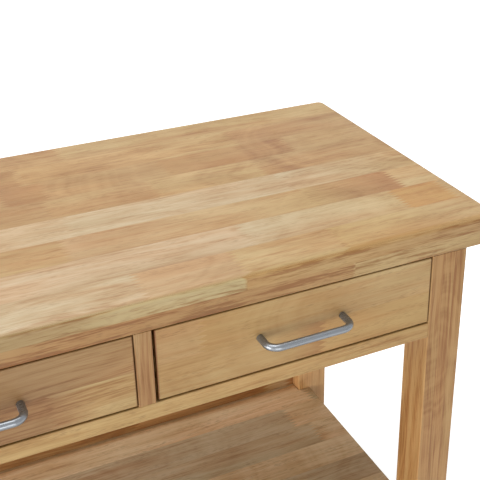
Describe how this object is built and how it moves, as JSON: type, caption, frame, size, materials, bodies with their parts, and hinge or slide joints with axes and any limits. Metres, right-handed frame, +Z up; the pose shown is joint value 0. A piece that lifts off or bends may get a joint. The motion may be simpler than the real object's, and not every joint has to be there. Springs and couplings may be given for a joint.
{
  "type": "kitchen cart",
  "caption": "Wooden kitchen cart: a thick round-edged worktop on square legs, inset drawers with bar handles, open shelves and swivel castors.",
  "frame": {"origin": "middle of the footprint, handles included, on the floor", "axes": "+X along the worktop to the viewer's right, +Y from the drawers to the back, +Z up"},
  "size_m": [0.828, 0.437, 0.88],
  "materials": {
    "worktop_wood": "oiled, satin",
    "frame_wood": "lacquered, satin",
    "drawer_wood": "lacquered, satin",
    "plywood": "plain",
    "handle_steel": "satin brushed",
    "zinc_steel": "zinc plated",
    "hub_plastic": "moulded",
    "pedal_plastic": "moulded",
    "tyre_rubber": "matte"
  },
  "bodies": {
    "cart_frame": {"worktop_upper": "worktop_wood", "worktop_lower": "worktop_wood", "leg_front_left": "frame_wood", "leg_front_right": "frame_wood", "leg_rear_left": "frame_wood", "leg_rear_right": "frame_wood", "front_rail": "frame_wood", "rear_apron": "frame_wood", "side_apron_left": "frame_wood", "side_apron_right": "frame_wood", "stile": "frame_wood", "divider": "frame_wood", "runner_left": "frame_wood", "runner_right": "frame_wood", "runner_centre": "frame_wood", "mid_front_rail": "frame_wood", "mid_rear_rail": "frame_wood", "mid_side_rail_left": "frame_wood", "mid_side_rail_right": "frame_wood", "mid_shelf": "frame_wood", "low_front_rail": "frame_wood", "low_rear_rail": "frame_wood", "low_side_rail_left": "frame_wood", "low_side_rail_right": "frame_wood", "low_shelf": "frame_wood", "worktop_screws": "zinc_steel", "leg_inserts": "zinc_steel", "castor_stems": "zinc_steel"},
    "drawer_left": {"drawer_left_front": "drawer_wood", "drawer_left_side_outer": "drawer_wood", "drawer_left_side_inner": "drawer_wood", "drawer_left_back": "drawer_wood", "drawer_left_bottom": "plywood", "handle_left": "handle_steel", "handle_screws_left": "zinc_steel"},
    "drawer_right": {"drawer_right_front": "drawer_wood", "drawer_right_side_outer": "drawer_wood", "drawer_right_side_inner": "drawer_wood", "drawer_right_back": "drawer_wood", "drawer_right_bottom": "plywood", "handle_right": "handle_steel", "handle_screws_right": "zinc_steel"},
    "fork_front_left": {"fork_front_left": "zinc_steel", "axle_front_left": "zinc_steel"},
    "wheel_front_left": {"hub_front_left": "hub_plastic", "tyre_front_left": "tyre_rubber"},
    "pedal_front_left": {"pedal_front_left": "pedal_plastic"},
    "fork_front_right": {"fork_front_right": "zinc_steel", "axle_front_right": "zinc_steel"},
    "wheel_front_right": {"hub_front_right": "hub_plastic", "tyre_front_right": "tyre_rubber"},
    "pedal_front_right": {"pedal_front_right": "pedal_plastic"},
    "fork_rear_left": {"fork_rear_left": "zinc_steel", "axle_rear_left": "zinc_steel"},
    "wheel_rear_left": {"hub_rear_left": "hub_plastic", "tyre_rear_left": "tyre_rubber"},
    "fork_rear_right": {"fork_rear_right": "zinc_steel", "axle_rear_right": "zinc_steel"},
    "wheel_rear_right": {"hub_rear_right": "hub_plastic", "tyre_rear_right": "tyre_rubber"}
  },
  "joints": [
    {"name": "drawer_left_slide", "type": "slide", "parent": "cart_frame", "child": "drawer_left", "axis": [0, -1, 0], "range_m": [0, 0.23]},
    {"name": "drawer_right_slide", "type": "slide", "parent": "cart_frame", "child": "drawer_right", "axis": [0, -1, 0], "range_m": [0, 0.23]},
    {"name": "castor_front_left_swivel", "type": "hinge", "parent": "cart_frame", "child": "fork_front_left", "pos_m": [-0.3535, -0.167, 0.065], "axis": [0, 0, 1], "continuous": true},
    {"name": "wheel_front_left_spin", "type": "hinge", "parent": "fork_front_left", "child": "wheel_front_left", "pos_m": [-0.3715, -0.167, 0.025], "axis": [0, 1, 0], "continuous": true},
    {"name": "brake_pedal_left_tip", "type": "hinge", "parent": "fork_front_left", "child": "pedal_front_left", "pos_m": [-0.3875, -0.167, 0.05], "axis": [0, 1, 0], "range_deg": [0, 30]},
    {"name": "castor_front_right_swivel", "type": "hinge", "parent": "cart_frame", "child": "fork_front_right", "pos_m": [0.3535, -0.167, 0.065], "axis": [0, 0, 1], "continuous": true},
    {"name": "wheel_front_right_spin", "type": "hinge", "parent": "fork_front_right", "child": "wheel_front_right", "pos_m": [0.3355, -0.167, 0.025], "axis": [0, 1, 0], "continuous": true},
    {"name": "brake_pedal_right_tip", "type": "hinge", "parent": "fork_front_right", "child": "pedal_front_right", "pos_m": [0.3195, -0.167, 0.05], "axis": [0, 1, 0], "range_deg": [0, 30]},
    {"name": "castor_rear_left_swivel", "type": "hinge", "parent": "cart_frame", "child": "fork_rear_left", "pos_m": [-0.3535, 0.148, 0.065], "axis": [0, 0, 1], "continuous": true},
    {"name": "wheel_rear_left_spin", "type": "hinge", "parent": "fork_rear_left", "child": "wheel_rear_left", "pos_m": [-0.3715, 0.148, 0.025], "axis": [0, 1, 0], "continuous": true},
    {"name": "castor_rear_right_swivel", "type": "hinge", "parent": "cart_frame", "child": "fork_rear_right", "pos_m": [0.3535, 0.148, 0.065], "axis": [0, 0, 1], "continuous": true},
    {"name": "wheel_rear_right_spin", "type": "hinge", "parent": "fork_rear_right", "child": "wheel_rear_right", "pos_m": [0.3355, 0.148, 0.025], "axis": [0, 1, 0], "continuous": true}
  ]
}
